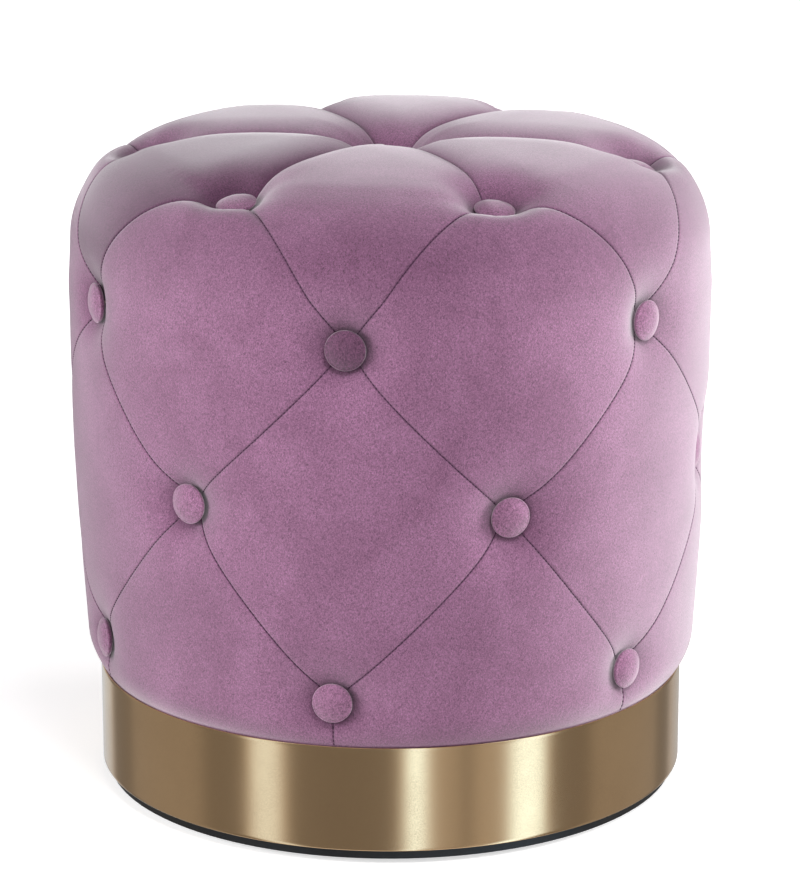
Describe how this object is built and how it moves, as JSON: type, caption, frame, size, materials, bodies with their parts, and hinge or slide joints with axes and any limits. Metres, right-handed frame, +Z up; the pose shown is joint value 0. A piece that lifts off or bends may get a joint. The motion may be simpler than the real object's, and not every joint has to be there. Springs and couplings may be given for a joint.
{
  "type": "stool",
  "caption": "Round upholstered stool: a deep-buttoned velvet drum with a diamond pattern on a polished metal band, over a recessed black plinth with glides",
  "frame": {"origin": "on the floor, at the middle of the stool", "axes": "+Z up; the front of the picture is at -Y and +X is to its right"},
  "size_m": [0.3784, 0.3778, 0.3914],
  "materials": {
    "velvet": "mauve velvet with a short dense nap",
    "foam": "open-cell upholstery foam",
    "steel": "plain drawn steel",
    "zinc_steel": "zinc-plated steel",
    "black_steel": "black-oxide steel",
    "twine": "waxed tufting twine",
    "plywood": "raw plywood",
    "fibreboard": "raw hardboard",
    "pine": "planed softwood",
    "gold": "polished gold-coloured stainless sheet",
    "black_paint": "black-painted board",
    "glide_plastic": "black moulded nylon"
  },
  "bodies": {
    "root": {"velvet_cover": "velvet", "rim_button_1": "velvet", "rim_button_2": "velvet", "rim_button_3": "velvet", "rim_button_4": "velvet", "rim_button_5": "velvet", "rim_button_6": "velvet", "upper_button_1": "velvet", "upper_button_2": "velvet", "upper_button_3": "velvet", "upper_button_4": "velvet", "upper_button_5": "velvet", "upper_button_6": "velvet", "middle_button_1": "velvet", "middle_button_2": "velvet", "middle_button_3": "velvet", "middle_button_4": "velvet", "middle_button_5": "velvet", "middle_button_6": "velvet", "lower_button_1": "velvet", "lower_button_2": "velvet", "lower_button_3": "velvet", "lower_button_4": "velvet", "lower_button_5": "velvet", "lower_button_6": "velvet", "centre_button": "velvet", "seat_foam": "foam", "side_foam": "foam", "button_backs": "steel", "twine_washers": "steel", "hem_staples": "steel", "panel_staples": "steel", "tuft_twines": "twine", "seat_screws": "zinc_steel", "drum_screws": "zinc_steel", "base_screws": "zinc_steel", "plinth_screws": "black_steel", "glide_screws": "black_steel", "seat_board": "plywood", "drum_board": "plywood", "base_board": "plywood", "base_ring": "plywood", "wall_panel": "fibreboard", "post_1": "pine", "post_2": "pine", "post_3": "pine", "post_4": "pine", "post_5": "pine", "post_6": "pine", "base_block_1": "pine", "base_block_2": "pine", "base_block_3": "pine", "base_block_4": "pine", "base_block_5": "pine", "base_block_6": "pine", "metal_band": "gold", "plinth_board": "black_paint", "glides": "glide_plastic"}
  },
  "joints": []
}
